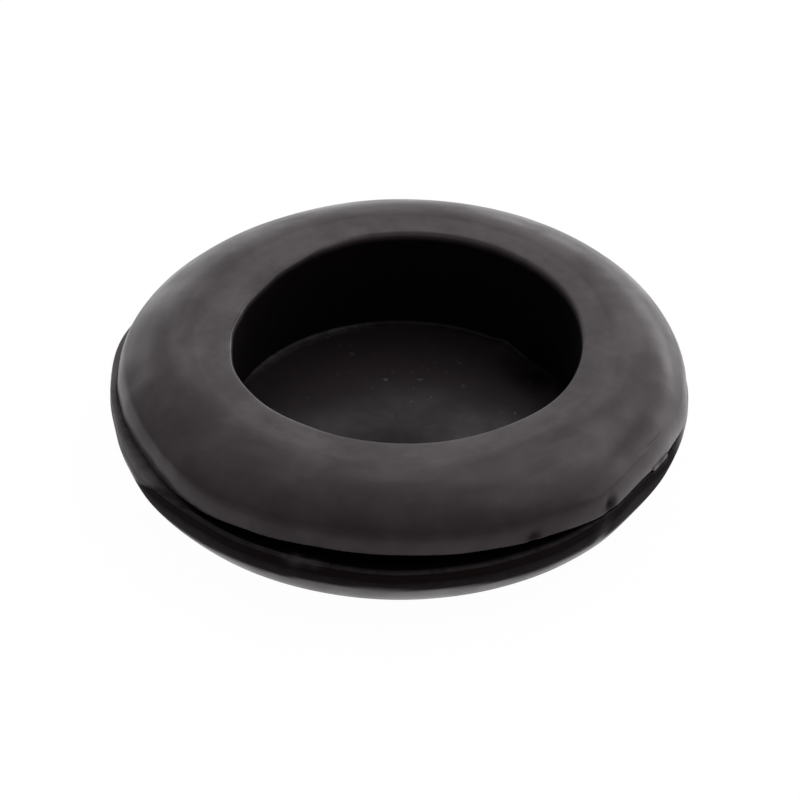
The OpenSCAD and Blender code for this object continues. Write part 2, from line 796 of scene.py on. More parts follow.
class NodeGraph:
    """The nodes of one material or world, built from an empty tree."""

    def __init__(self, owner: Union[bpy.types.Material, bpy.types.World], output: str) -> None:
        """Empties a tree and adds its output.

        Args:
            owner: The material or world that the tree belongs to.
            output: The type of the output node.
        """
        owner.use_nodes = True
        self.owner = owner
        self.tree = owner.node_tree
        self.tree.nodes.clear()
        self.output = self.add(output)

    @classmethod
    def of_material(cls, name: str) -> "NodeGraph":
        """Makes a new material and the graph of its nodes."""
        return cls(bpy.data.materials.new(name), "ShaderNodeOutputMaterial")

    def close(self, shader: bpy.types.Node) -> None:
        """Links the last shader to the output."""
        self.tree.links.new(shader.outputs[0], self.output.inputs["Surface"])

    def add(
        self,
        kind: str,
        settings: Optional[dict[str, object]] = None,
        sockets: Optional[dict[Union[str, int], object]] = None,
    ) -> bpy.types.Node:
        """Adds one node.

        Args:
            kind: The node's type.
            settings: Its settings, which are set first.
            sockets: What its input sockets get: a number, a colour, a signal or a socket.

        Returns:
            The node.
        """
        node = self.tree.nodes.new(kind)
        for key, value in (settings or {}).items():
            setattr(node, key, value)
        for key, value in (sockets or {}).items():
            if isinstance(value, Signal):
                self.tree.links.new(value.socket, node.inputs[key])
            elif isinstance(value, bpy.types.NodeSocket):
                self.tree.links.new(value, node.inputs[key])
            else:
                node.inputs[key].default_value = value
        return node

    def signal(
        self,
        kind: str,
        output: Union[str, int],
        settings: Optional[dict[str, object]] = None,
        sockets: Optional[dict[Union[str, int], object]] = None,
    ) -> Signal:
        """Adds one node for the sake of one of its outputs.

        Args:
            kind: The node's type.
            output: The output's name or number.
            settings: The node's settings.
            sockets: What its input sockets get.

        Returns:
            That output.
        """
        return Signal(self, self.add(kind, settings, sockets).outputs[output])

    def noise(self, place: Signal, texture: Texture, roughness: float = 0.55) -> Signal:
        """Adds soft noise.

        Args:
            place: Where the noise is read.
            texture: The noise.
            roughness: How strong its finer layers are.

        Returns:
            Its level, from 0 to 1, before it is faded over its span.
        """
        sockets = {"Vector": place, "Scale": texture.scale, "Detail": texture.detail}
        sockets["Roughness"] = roughness
        return self.signal("ShaderNodeTexNoise", "Fac", {"noise_dimensions": "3D"}, sockets)

    def blend(
        self, amount: Signal, first: Union[Signal, Point], second: Union[Signal, Point]
    ) -> Signal:
        """Mixes two colours.

        Args:
            amount: How much of the second there is, from 0 to 1.
            first: The first colour.
            second: The second colour.

        Returns:
            The mixed colour.
        """
        start, end = (
            colour if isinstance(colour, Signal) else (*colour, 1.0)
            for colour in (first, second)
        )
        sockets = {0: amount, 6: start, 7: end}
        return self.signal("ShaderNodeMix", 2, {"data_type": "RGBA"}, sockets)

    def shader_mix(
        self, amount: Signal, first: bpy.types.Node, second: bpy.types.Node
    ) -> bpy.types.Node:
        """Mixes two shaders.

        Args:
            amount: How much of the second there is, from 0 to 1.
            first: The first shader.
            second: The second shader.

        Returns:
            The node that mixes them.
        """
        sockets = {0: amount, 1: first.outputs[0], 2: second.outputs[0]}
        return self.add("ShaderNodeMixShader", None, sockets)


@dataclass(frozen=True)
class RubberFinish:
    """Black moulded rubber that has been handled: dull, a little mottled, grey on its edges, with
    painted shade in its hollows and painted light on some edges.

    Args:
        name: The material's name.
        deep: Colour of the clean rubber.
        mottled: Colour of its paler patches.
        bloom_and_light_colour: Colour of its greyed edges and dust, and of the painted light on
            some edges and ledges.
        painted_shade_colour: Painted shade: the darker colour given to the rubber in the groove,
            the recess and other shaded spots.
        matt: Colour of the dull skin.
        matt_painted_shade_colour: The same painted shade on the dull skin.
        patches: The paler patches.
        flecks: The fine flecks.
        streaks: The streaks that run round the axis.
        streak_turns: How finely the streaks change on the way round the axis.
        streak_rings: How finely they change on the way outwards, to the metre.
        grain: The fine grain.
        grit: The specks of dust.
        dust: Where the specks of dust gather.
        fleck_mottle: The levels of the flecks between which they show in the mottle.
        fleck_edge: The levels between which they show on greyed edges.
        mottle_shares: What the patches, the streaks and the flecks give to the mottle.
        mottle_loss: How much of the mottle is lost in the groove and the recess.
        edge_shares: How much of the grey on edges is flecked, and how much is even.
        painted_shade_tint: How much of the painted shade colour shows where the shade is full.
        edge_tint: How much of the grey shows on edges.
        matt_edge_tint: How much of it shows on the edges of the dull skin.
        speck_tint: How much of the dust's colour shows in a speck.
        dullest: Roughness of the dull patches.
        smoothest: Roughness of the smoothest patches.
        rough_shares: What the patches, the flecks and the greyed edges give to the roughness.
        relief_shares: What the grain, the flecks and the specks give to the relief.
        relief: Strength of the relief.
        grain_depth: Height of the relief, in mm.
        refraction: How strongly the rubber and its skin bend light.
        specular: Strength of the gloss.
        dull_specular: Strength of the gloss where the skin is dull.
        dull_roughness: Roughness there.
        sheen: Strength of the soft grey that fine dust gives at grazing angles.
        sheen_roughness: Roughness of that grey.
        gloss_tint: Colour of the gloss.
        skin_shares: What the patches and the streaks add to the thin smooth skin over the
            rubber, and how much of it there is everywhere.
        skin_gloss: Strength of that skin.
        skin_roughness: Roughness of that skin.
    """

    name: str = "rubber"
    deep: Point = (0.032, 0.0235, 0.0250)
    mottled: Point = (0.056, 0.0415, 0.0480)
    bloom_and_light_colour: Point = (0.150, 0.142, 0.146)
    painted_shade_colour: Point = (0.0050, 0.0028, 0.0029)
    matt: Point = (0.0077, 0.0048, 0.0050)
    matt_painted_shade_colour: Point = (0.0040, 0.0024, 0.0025)
    patches: Texture = Texture(260.0, 4.0, (0.40, 0.62))
    flecks: Texture = Texture(1500.0, 3.0)
    streaks: Texture = Texture(1.0, 3.0, (0.38, 0.66))
    streak_turns: float = 3.0
    streak_rings: float = 900.0
    grain: Texture = Texture(5200.0, 2.0)
    grit: Texture = Texture(2600.0, 1.0, (0.66, 0.76))
    dust: Texture = Texture(300.0, 2.0, (0.5, 0.62))
    fleck_mottle: FlatPoint = (0.3, 0.75)
    fleck_edge: FlatPoint = (0.25, 0.65)
    mottle_shares: Point = (0.5, 0.3, 0.2)
    mottle_loss: float = 0.7
    edge_shares: FlatPoint = (0.6, 0.4)
    painted_shade_tint: float = 0.85
    edge_tint: float = 0.7
    matt_edge_tint: float = 0.5
    speck_tint: float = 0.6
    dullest: float = 0.58
    smoothest: float = 0.42
    rough_shares: Point = (0.6, 0.4, 0.08)
    relief_shares: Point = (0.6, 0.4, 1.5)
    relief: float = 0.35
    grain_depth: float = 0.012
    refraction: float = 1.5
    specular: float = 0.3
    dull_specular: float = 0.05
    dull_roughness: float = 0.8
    sheen: float = 0.12
    sheen_roughness: float = 0.35
    gloss_tint: Point = (1.0, 0.82, 0.90)
    skin_shares: Point = (0.3, 0.3, 0.75)
    skin_gloss: float = 0.60
    skin_roughness: float = 0.25

    def build(self) -> bpy.types.Material:
        """Builds the material.

        Returns:
            The finished material.
        """
        graph = NodeGraph.of_material(self.name)
        place = graph.signal("ShaderNodeTexCoord", "Object")
        bloom_and_painted_light, shade, dull = (
            graph.signal("ShaderNodeAttribute", "Fac", {"attribute_name": layer.value})
            for layer in (Layer.BLOOM, Layer.SHADE, Layer.DULL)
        )
        patches = graph.noise(place, self.patches).fade(*self.patches.span)
        flecks = graph.noise(place, self.flecks)
        streaks = graph.noise(self._swept(graph, place), self.streaks).fade(*self.streaks.span)
        grit = graph.noise(place, self.grit).fade(*self.grit.span)
        dust = graph.noise(place, self.dust).fade(*self.dust.span)
        flecked, even = self.edge_shares
        edge = bloom_and_painted_light * (flecks.fade(*self.fleck_edge) * flecked + even)
        specks = grit * shade * dust

        patched, streaked, fine = self.mottle_shares
        mottle = patches * patched + streaks * streaked
        mottle = (mottle + flecks.fade(*self.fleck_mottle) * fine) * (
            1.0 - shade * self.mottle_loss
        )
        colour = graph.blend(mottle, self.deep, self.mottled)
        # Painted shade: the shade layer darkens the rubber in the groove, the recess, the nicks
        # and other shaded spots.
        colour = graph.blend(shade * self.painted_shade_tint, colour, self.painted_shade_colour)
        # Greyed edges, and painted light on some edges and ledges.
        colour = graph.blend(edge * self.edge_tint, colour, self.bloom_and_light_colour)
        colour = graph.blend(specks * self.speck_tint, colour, self.bloom_and_light_colour)
        # The dull skin is darkened by the same painted shade.
        matt_colour = graph.blend(shade, self.matt, self.matt_painted_shade_colour)
        matt_colour = graph.blend(edge * self.matt_edge_tint, matt_colour, self.bloom_and_light_colour)

        span = self.dullest - self.smoothest
        patched, fine, greyed = self.rough_shares
        roughness = self.smoothest + span * (1.0 - patches) * patched
        roughness = roughness + span * fine * flecks + edge * greyed
        bump = self._bump(graph, graph.noise(place, self.grain), flecks, specks)
        patched, streaked, even = self.skin_shares
        skin = (patches * patched + streaks * streaked + even) * self.skin_gloss
        shared = {"Normal": bump, "IOR": self.refraction, "Specular Tint": (*self.gloss_tint, 1.0)}
        smooth_part = graph.add(
            "ShaderNodeBsdfPrincipled",
            None,
            {
                **shared,
                "Base Color": colour,
                "Roughness": roughness,
                "Specular IOR Level": self.specular,
                "Coat Weight": skin,
                "Coat Roughness": self.skin_roughness,
                "Coat IOR": self.refraction,
                "Sheen Weight": self.sheen,
                "Sheen Roughness": self.sheen_roughness,
            },
        )
        matt_part = graph.add(
            "ShaderNodeBsdfPrincipled",
            None,
            {
                **shared,
                "Base Color": matt_colour,
                "Roughness": self.dull_roughness,
                "Specular IOR Level": self.dull_specular,
            },
        )
        graph.close(graph.shader_mix(dull, smooth_part, matt_part))
        return graph.owner

    def _swept(self, graph: NodeGraph, place: Signal) -> Signal:
        """Winds places round the axis, so that noise on them runs in streaks round it.

        Args:
            graph: The material's graph.
            place: The places.

        Returns:
            The wound places.
        """
        parts = graph.add("ShaderNodeSeparateXYZ", None, {0: place})
        across, along = (Signal(graph, parts.outputs[axis]) for axis in (0, 1))
        never_zero = 1e-9
        radius = (across * across + along * along + never_zero).root()
        wound = {
            0: across / radius * self.streak_turns,
            1: along / radius * self.streak_turns,
            2: radius * self.streak_rings,
        }
        return graph.signal("ShaderNodeCombineXYZ", 0, None, wound)

    def _bump(self, graph: NodeGraph, grain: Signal, flecks: Signal, specks: Signal) -> Signal:
        """Gives the rubber its relief.

        Args:
            graph: The material's graph.
            grain: The fine grain.
            flecks: The fine flecks.
            specks: The specks of dust.

        Returns:
            The surface's direction.
        """
        grained, flecked, specked = self.relief_shares
        height = grain * grained + flecks * flecked + specks * specked
        sockets = {"Strength": self.relief, "Distance": self.grain_depth * MM, "Height": height}
        return graph.signal("ShaderNodeBump", "Normal", None, sockets)


@dataclass(frozen=True)
class DullBand:
    """The dull band along the front of the lower lip.

    Args:
        foot: Height at which it begins, in mm.
        top: Height above which there is none, in mm.
        inner_radius: Distance from the axis within which there is none, in mm.
        left: Angle at which its left end begins, in degrees.
        left_height: The height for which that angle is given, in mm.
        left_slant: How far the left end moves for each mm of height, in degrees.
        left_fade: Over how many degrees the band fades in there.
        right: Angle at which its right end stops.
        right_fade: Over how many degrees it fades out there.
        middle: Angle of its middle, where its foot is sharpest.
        sharp_reach: How many degrees from there the foot stays as sharp.
        soft_reach: Over how many further degrees it softens.
        sharp_fade: Height over which the sharp foot fades in, in mm.
        soft_fade: What is added to that height where the foot is soft, in mm.
    """

    foot: RimCurve = RimCurve(
        (
            (210.0, 1.70), (225.0, 1.60), (240.0, 2.10), (254.0, 2.45), (267.0, 2.62),
            (284.0, 2.40), (300.0, 2.00), (315.0, 1.80), (330.0, 1.40),
        )
    )
    top: float = 4.6
    inner_radius: float = 13.0
    left: float = 207.0
    left_height: float = 3.3
    left_slant: float = 8.0
    left_fade: float = 3.0
    right: float = 358.0
    right_fade: float = 18.0
    middle: float = 267.0
    sharp_reach: float = 20.0
    soft_reach: float = 18.0
    sharp_fade: float = 0.25
    soft_fade: float = 0.35

    def at(self, spot: Vector) -> float:
        """How dull the band is at a place.

        Args:
            spot: The place on the true moulding, in metres.

        Returns:
            The dullness, from 0 to 1.
        """
        height, angle = spot.z / MM, angle_of(spot)
        if math.hypot(spot.x, spot.y) < self.inner_radius * MM or height > self.top:
            return 0.0
        slant = (height - self.left_height) * self.left_slant
        left = smooth_step((angle - self.left - slant) / self.left_fade)
        right = smooth_step((self.right - angle) / self.right_fade)
        beside = (abs(angle - self.middle) - self.sharp_reach) / self.soft_reach
        fade = self.sharp_fade + self.soft_fade * smooth_step(beside)
        return left * right * smooth_step((height - self.foot.at(angle)) / fade)


@dataclass(frozen=True)
class RimSag:
    """How far the rims of the two flanges have given way, in mm, and where the rest follows.

    Args:
        upper_rise: How far the upper flange's rim has risen.
        upper_spread: How far that rim has spread.
        lower_rise: How far the lower flange's rim has risen.
        lower_spread: How far that rim has spread.
        flank_root: Radius from which the groove's flanks follow.
        shoulder_root: Radius from which the upper shoulder follows.
        lip_inside: Radius past which the upper lip follows its shoulder, and not the flank.
        flank_slack: How far above the upper flank a place still counts as part of it.
        lower_heel: Height from which the lower shoulder follows, up to its lip.
        heel_inside: Radius past which it does.
        hair: How close two heights are when they count as the same.
    """

    upper_rise: RimCurve = RimCurve(
        (
            (0.0, -0.14), (30.0, 0.11), (60.0, 0.07), (90.0, 0.02), (120.0, -0.10),
            (150.0, -0.16), (165.0, -0.24), (180.0, -0.27), (190.0, -0.30), (200.0, -0.34),
            (212.0, -0.36), (225.0, -0.27), (240.0, -0.09), (255.0, 0.03), (270.0, 0.02),
            (285.0, -0.07), (300.0, -0.16), (315.0, -0.32), (328.0, -0.19), (340.0, -0.26),
            (350.0, -0.30),
        )
    )
    upper_spread: RimCurve = RimCurve(
        (
            (0.0, 0.28), (30.0, 0.01), (60.0, 0.06), (90.0, 0.02), (120.0, -0.03),
            (150.0, 0.01), (165.0, 0.10), (180.0, 0.02), (190.0, -0.10), (198.0, -0.19),
            (206.0, -0.22), (213.0, -0.12), (220.0, 0.03), (229.0, 0.12), (240.0, 0.05),
            (255.0, -0.03), (270.0, -0.01), (285.0, 0.07), (300.0, 0.17), (315.0, 0.34),
            (328.0, 0.12), (340.0, 0.26), (350.0, 0.45),
        )
    )
    lower_rise: RimCurve = RimCurve(
        (
            (0.0, 0.15), (30.0, 0.06), (60.0, 0.03), (90.0, 0.03), (120.0, 0.06),
            (150.0, 0.14), (165.0, 0.34), (180.0, 0.32), (190.0, 0.29), (200.0, 0.31),
            (212.0, 0.28), (225.0, 0.24), (240.0, 0.10), (255.0, 0.07), (270.0, -0.02),
            (285.0, 0.04), (300.0, 0.12), (315.0, 0.25), (328.0, 0.41), (340.0, 0.31),
            (350.0, 0.22),
        )
    )
    lower_spread: RimCurve = RimCurve(
        (
            (0.0, 0.16), (30.0, 0.06), (60.0, 0.02), (90.0, 0.01), (120.0, 0.01),
            (150.0, 0.02), (165.0, 0.09), (180.0, -0.06), (190.0, -0.14), (200.0, -0.01),
            (212.0, 0.18), (225.0, 0.06), (240.0, 0.11), (255.0, 0.15), (270.0, 0.22),
            (285.0, 0.21), (300.0, 0.18), (315.0, 0.07), (328.0, -0.16), (340.0, 0.08),
            (350.0, 0.09),
        )
    )
    flank_root: float = 12.3
    shoulder_root: float = 10.5
    lip_inside: float = 15.0
    flank_slack: float = 0.05
    lower_heel: float = 0.3
    heel_inside: float = 11.0
    hair: float = 0.001

    def at(self, spot: Vector, section: GrommetSection) -> Vector:
        """How far the flanges have given way at a place.

        Args:
            spot: The place on the true moulding, in metres.
            section: The moulding's section.

        Returns:
            Its move, in mm.
        """
        radius, height = math.hypot(spot.x, spot.y) / MM, spot.z / MM
        angle = angle_of(spot)
        upper_edge = section.lower_thickness + section.rim_gap
        if height > upper_edge - section.rim_gap / 2:
            flank_top = upper_edge + section.flank_rise + self.flank_slack
            on_flank = radius < self.lip_inside and height < flank_top
            root = self.flank_root if on_flank else self.shoulder_root
            felt = smooth_step((radius - root) / (section.upper_d / 2 - root))
            rise, spread = self.upper_rise.at(angle), self.upper_spread.at(angle)
        else:
            root, foot = self.flank_root, section.lower_foot
            felt = smooth_step((radius - root) / (section.lower_d / 2 - root))
            if height < foot + self.hair and radius > self.heel_inside:
                felt = smooth_step((height - self.lower_heel) / (foot - self.lower_heel))
            rise, spread = self.lower_rise.at(angle), self.lower_spread.at(angle)
        spread *= felt
        turn = math.radians(angle)
        return Vector((spread * math.cos(turn), spread * math.sin(turn), rise * felt))


@dataclass(frozen=True)
class MouthSag:
    """How far the recess's mouth is out of round, in mm.

    Args:
        spread: How far it has spread, measured from its own middle.
        foot: Height from which the wall follows it.
        edge: Radius within which the flat top follows it.
    """

    spread: RimCurve = RimCurve(
        (
            (0.0, 0.02), (30.0, 0.10), (75.0, 0.22), (105.0, 0.15), (120.0, -0.04),
            (135.0, -0.26), (150.0, -0.38), (165.0, -0.24), (180.0, -0.01), (200.0, 0.25),
            (215.0, 0.22), (240.0, -0.01), (270.0, -0.10), (300.0, -0.14), (330.0, 0.08),
        )
    )
    foot: float = 3.0
    edge: float = 11.4

    def at(self, spot: Vector, section: GrommetSection, lean: Lean) -> Vector:
        """How far the mouth has given way at a place.

        Args:
            spot: The place, in metres.
            section: The moulding's section.
            lean: How far the recess stands off the axis.

        Returns:
            Its move, in mm.
        """
        off_centre = Vector((spot.x - lean.mouth * MM, spot.y, spot.z)) / MM
        radius = math.hypot(off_centre.x, off_centre.y)
        if off_centre.z < self.foot or radius > self.edge:
            return Vector((0.0, 0.0, 0.0))
        mouth_r = section.recess_d / 2
        felt = smooth_step((off_centre.z - self.foot) / (section.height - self.foot))
        felt *= smooth_step((self.edge - max(radius, mouth_r)) / (self.edge - mouth_r))
        spread = felt * self.spread.at(angle_of(off_centre))
        return Vector((off_centre.x, off_centre.y, 0.0)) * spread / radius


@dataclass(frozen=True)
class Flash:
    """One run of the thin flash that the mould left on the lower lip.

    Args:
        start: Its first angle, in degrees.
        end: Its last angle.
        height: How high it stands, in mm.
        inward: How far in from the lip its faces may lie, in mm.
        below: How far below the lip's top they may lie, in mm.
        above: How far above it they may lie, in mm.
        facing: How much they look upwards at least, where 1 is straight up.
    """

    start: float = 224.0
    end: float = 257.5
    height: float = 0.13
    inward: float = 0.16
    below: float = 0.3
    above: float = 0.1
    facing: float = 0.3


@dataclass(frozen=True)
class Nick:
    """A small hollow pressed into the upper lip, with shade painted into it.

    Args:
        angle: Its angle round the axis, in degrees.
        height: The height of its middle, in mm.
        width: How far from its middle it is felt, in mm.
        tall: Its height, in mm.
        depth: How deep each of its presses goes, in mm.
        painted_darkness: How dark the painted shade in it is, from 0 to 1, which also sets how
            dull it is.
        presses: The heights of its presses from its middle, as parts of its own height.
        droop: How far each press also goes down, as a part of its depth.
        fine_reach: How far round its middle the faces are made finer, in mm.
        shade_reach: Reach of its shade, as a part of its width.
        shade_share: Strength of its painted shade, as a part of that darkness.
        dull_reach: Reach of its dullness, as a part of its width.
    """

    angle: float
    height: float
    width: float
    tall: float
    depth: float
    painted_darkness: float
    presses: tuple[float, ...] = (-0.3, 0.0, 0.3)
    droop: float = 0.3
    fine_reach: float = 0.9
    shade_reach: float = 1.2
    shade_share: float = 0.7
    dull_reach: float = 1.5


@dataclass(frozen=True)
class Tear:
    """A torn tongue of rubber that hangs from the upper lip.

    Args:
        angle: Its angle round the axis, in degrees.
        half_width: How far it reaches to each side, in degrees.
        top: Height up to which the lip is torn, in mm.
        inner_radius: Distance from the axis past which it is torn, in mm.
        fine_reach: How far round it the faces are made finer, in mm.
        pulls: How far out and down each pull goes, in mm, and how much the tongue grows in it.
    """

    angle: float = 335.0
    half_width: float = 3.0
    top: float = 4.85
    inner_radius: float = 14.9
    fine_reach: float = 1.5
    pulls: tuple[Point, ...] = ((0.06, 0.05, 0.97), (0.03, 0.07, 0.90), (0.0, 0.04, 0.75))


@dataclass(frozen=True)
class FloorLumps:
    """The unevenness of the recess's floor.

    Args:
        lumps: The x and y of each lump, its rise and its reach, in mm.
        beyond: How far past the recess's radius the floor counts, in mm.
        below: How far below the floor's level it counts, in mm.
        above: How far up the wall it counts, in mm.
    """

    lumps: tuple[tuple[float, float, float, float], ...] = (
        (7.3, 6.0, -0.30, 2.0),
        (5.9, 7.4, 0.14, 0.9),
        (-2.5, 1.0, 0.06, 3.0),
        (3.0, -4.0, 0.05, 4.0),
    )
    beyond: float = 0.5
    below: float = 0.85
    above: float = 1.35


@dataclass(frozen=True)
class Dab:
    """A spot where a layer of the finish is stronger or weaker.

    Args:
        layer: The layer.
        angle: Its angle round the axis, in degrees.
        radius: Its distance from the axis, in mm.
        height: Its height, in mm.
        reach: Its own radius, in mm.
        strength: What it adds at its middle.
    """

    layer: Layer
    angle: float
    radius: float
    height: float
    reach: float
    strength: float


@dataclass(frozen=True)
class Grommet:
    """The rubber moulding, as one piece.

    Args:
        section: Its sizes.
        lean: How far its rings stand off the axis.
        rim_sag: How far the rims of its flanges have given way.
        mouth_sag: How far the recess's mouth is out of round.
        floor_lumps: The unevenness of the recess's floor.
        finish: The rubber.
        sides: How many corners each ring has.
        crease: The angle in degrees past which an edge stays sharp.
        dull_band: The dull band along the lower lip.
        groove_dark: How much painted shade the lower flank's outer part has.
        groove_painted_light: How much painted light that part has, at the left end.
        upper_lip_matt: How dull the upper lip is; its darker matt skin, from the left round to the
            front, stands in for painted shade.
        lower_lip_matt: How dull the lower lip is.
        lip_painted_highlight: How strong the painted highlight on the lower lip's edge is against
            the rest of it, strongest at the left end.
        floor_grey: How much paler the line round the recess's floor is, against the rest of it.
        flash: The flash on the lower lip.
        lip_edge: A height just under the upper lip, in mm, below which its wear doesn't reach.
        nicks: The nicks in the upper lip.
        tear: The torn tongue of the upper lip.
        dabs: The spots where a layer of the finish is stronger or weaker, many of them painted
            shade and painted shadow.
    """

    section: GrommetSection = GrommetSection()
    lean: Lean = Lean()
    rim_sag: RimSag = RimSag()
    mouth_sag: MouthSag = MouthSag()
    floor_lumps: FloorLumps = FloorLumps()
    finish: RubberFinish = RubberFinish()
    sides: int = 448
    crease: float = 40.0
    dull_band: DullBand = DullBand()
    # Painted shade in the groove, and painted light and highlights along the lips, eased round the
    # axis.
    groove_dark: RimCurve = RimCurve(
        ((60.0, 1.0), (150.0, 0.0), (214.0, 0.0), (228.0, 1.0), (300.0, 1.0))
    )
    groove_painted_light: RimCurve = RimCurve(
        ((60.0, 0.0), (180.0, 0.0), (192.0, 1.0), (216.0, 1.0), (227.0, 0.0))
    )
    upper_lip_matt: RimCurve = RimCurve(
        ((170.0, 0.0), (185.0, 0.2), (203.0, 0.6), (235.0, 0.7), (300.0, 0.7), (335.0, 0.0))
    )
    lower_lip_matt: RimCurve = RimCurve(
        ((150.0, 0.3), (170.0, 0.7), (220.0, 0.7), (240.0, 0.3), (350.0, 0.3))
    )
    lip_painted_highlight: RimCurve = RimCurve(
        ((180.0, 1.0), (192.0, 1.9), (222.0, 1.7), (232.0, 0.8), (320.0, 1.0))
    )
    floor_grey: RimCurve = RimCurve(
        ((0.0, 0.0), (60.0, 0.15), (95.0, 0.35), (112.0, 1.0), (142.0, 1.0), (158.0, 0.2))
    )
    flash: Flash = Flash()
    lip_edge: float = 4.5
    nicks: tuple[Nick, ...] = (
        Nick(angle=316.7, height=5.05, width=0.60, tall=0.8, depth=0.07, painted_darkness=0.72),
        Nick(angle=298.2, height=4.92, width=0.50, tall=0.5, depth=0.06, painted_darkness=0.45),
    )
    tear: Tear = Tear()
    dabs: tuple[Dab, ...] = (
        Dab(Layer.BLOOM, 250.0, 15.45, 4.1, 0.9, 0.7),
        Dab(Layer.BLOOM, 254.0, 15.45, 4.1, 0.7, 0.5),
        Dab(Layer.BLOOM, 315.5, 15.5, 3.5, 1.0, 0.5),
        Dab(Layer.BLOOM, 337.0, 15.5, 4.2, 0.3, 0.5),
        # Painted shade on the recess's floor: darker at its front and by the wall at the left.
        Dab(Layer.SHADE, 270.0, 2.2, 1.85, 5.0, 0.2),
        Dab(Layer.DULL, 270.0, 2.2, 1.85, 5.0, 0.6),
        Dab(Layer.SHADE, 190.0, 9.0, 1.85, 2.4, 0.4),
        Dab(Layer.DULL, 190.0, 9.0, 1.85, 2.4, 0.7),
        # Painted shade: the torn tongue is painted darker.
        Dab(Layer.SHADE, 335.0, 15.45, 4.3, 0.6, 0.40),
        Dab(Layer.DULL, 335.0, 15.45, 4.3, 0.6, 0.7),
        # Painted shadow of the wall on the right of the recess's floor, and painted shade by the
        # wall at the left.
        Dab(Layer.SHADE, 38.0, 8.6, 1.85, 2.6, 0.5),
        Dab(Layer.SHADE, 20.0, 9.3, 1.85, 2.4, 0.5),
        Dab(Layer.SHADE, 2.0, 9.6, 1.85, 2.0, 0.4),
        Dab(Layer.SHADE, 172.0, 9.2, 1.85, 2.2, 0.6),
        Dab(Layer.DULL, 172.0, 9.2, 1.85, 2.2, 0.8),
        Dab(Layer.DULL, 30.0, 9.2, 1.85, 2.6, 1.0),
        Dab(Layer.DULL, 8.0, 9.8, 1.85, 2.4, 0.9),
        Dab(Layer.DULL, 315.0, 15.2, 2.6, 0.7, -0.4),
        # The dark stretch of the lower lip at the front right
        *(Dab(Layer.SHADE, turn, 15.5, 3.0, 1.3, 0.7) for turn in range(308, 346, 5)),
    )

    def make(self) -> bpy.types.Object:
        """Makes, wears and dresses the moulding.

        Returns:
            The finished piece.
        """
        body = MouldedMesh("grommet_rubber")
        rings = self.section.rings()
        self._pull_rings(body, rings)
        self._lay_layers(body, rings)
        body.bend(self._sag)
        self._lay_floor_lumps(body)
        self._leave_flash(body)
        for nick in self.nicks:
            self._press_nick(body, nick)
        self._tear_rim(body)
        for dab in self.dabs:
            place = around(dab.angle, dab.radius, dab.height)
            body.paint(dab.layer, place, dab.reach, dab.strength)
        body.finish_normals(self.crease)
        body.piece.data.materials.append(self.finish.build())
        return body.piece

    def _pull_rings(self, body: MouldedMesh, rings: list[Ring]) -> None:
        """Extrudes the moulding from its underside, ring by ring.

        Args:
            body: The moulding, which isn't begun yet.
            rings: Its rings, in order.
        """
        body.begin(rings[0].radius, rings[0].height, self.sides)
        shift = 0.0
        for before, ring in zip(rings, rings[1:]):
            moved = self.lean.at(ring, self.section)
            body.pull_ring(
                ring.height - before.height,
                moved - shift,
                ring.radius / before.radius,
                Vector((moved, 0.0, ring.height)) * MM,
            )
            shift = moved
        body.close_cap()

    def _lay_layers(self, body: MouldedMesh, rings: list[Ring]) -> None:
        """Tells the finish how pale to paint each ring, for greyed rubber and painted light, how
        much shade to paint on it, and how dull it is.

        Args:
            body: The moulding, whose vertices are still in the order of its rings.
            rings: Its rings, in order.
        """
        mesh = body.piece.data
        for layer in Layer:
            mesh.attributes.new(layer.value, "FLOAT", "POINT")
        bloom_and_painted_light, shade, dull = (mesh.attributes[layer.value].data for layer in Layer)
        pale_curves = {
            Seam.LIP: self.lip_painted_highlight,
            Seam.FLOOR: self.floor_grey,
            Seam.GROOVE: self.groove_painted_light,
        }
        matts = {Seam.UPPER_LIP: self.upper_lip_matt, Seam.LOWER_LIP: self.lower_lip_matt}
        for vertex in mesh.vertices:
            skin = rings[min(vertex.index // self.sides, len(rings) - 1)].skin
            angle = angle_of(vertex.co)
            # Painted highlights and light along the lips, and painted shade in the groove.
            grey = pale_curves[skin.seam].at(angle) if skin.seam in pale_curves else 1.0
            dark = self.groove_dark.at(angle) if skin.seam is Seam.GROOVE else 1.0
            matt = matts[skin.seam].at(angle) if skin.seam in matts else dark
            bloom_and_painted_light[vertex.index].value = min(skin.bloom_and_painted_light * grey, 1.0)
            shade[vertex.index].value = skin.shade * dark
            dull[vertex.index].value = max(skin.dull * matt, self.dull_band.at(vertex.co))

    def _sag(self, spot: Vector) -> Vector:
        """How far the soft moulding has given way at a place.

        Args:
            spot: The place on the true moulding, in metres.

        Returns:
            Its move in mm, which is felt most at the two rims and at the recess's mouth.
        """
        mouth = self.mouth_sag.at(spot, self.section, self.lean)
        return self.rim_sag.at(spot, self.section) + mouth

    def _on_rim(self, angle: float, height: float) -> Vector:
        """Finds a place on the upper lip.

        Args:
            angle: Its angle round the axis, in degrees.
            height: Its height on the true moulding, in mm.

        Returns:
            The place, in metres.
        """
        radius = self.section.upper_d / 2 + self.rim_sag.upper_spread.at(angle)
        return around(angle, radius, height + self.rim_sag.upper_rise.at(angle))

    def _lay_floor_lumps(self, body: MouldedMesh) -> None:
        """Leaves the recess's floor uneven.

        Args:
            body: The moulding.
        """
        web, floor = self.section.web, self.floor_lumps
        low, high = web - floor.below, web + floor.above
        inside = self.section.recess_d / 2 + floor.beyond

        def on_floor(spot: Vector) -> bool:
            """Says whether a place lies on the recess's floor or the foot of its wall."""
            radius = math.hypot(spot.x, spot.y)
            return low * MM < spot.z < high * MM and radius < inside * MM

        for across, along, rise, reach in floor.lumps:
            place = Vector((across, along, web)) * MM
            body.push(place, (0.0, 0.0, rise), reach, on_floor)

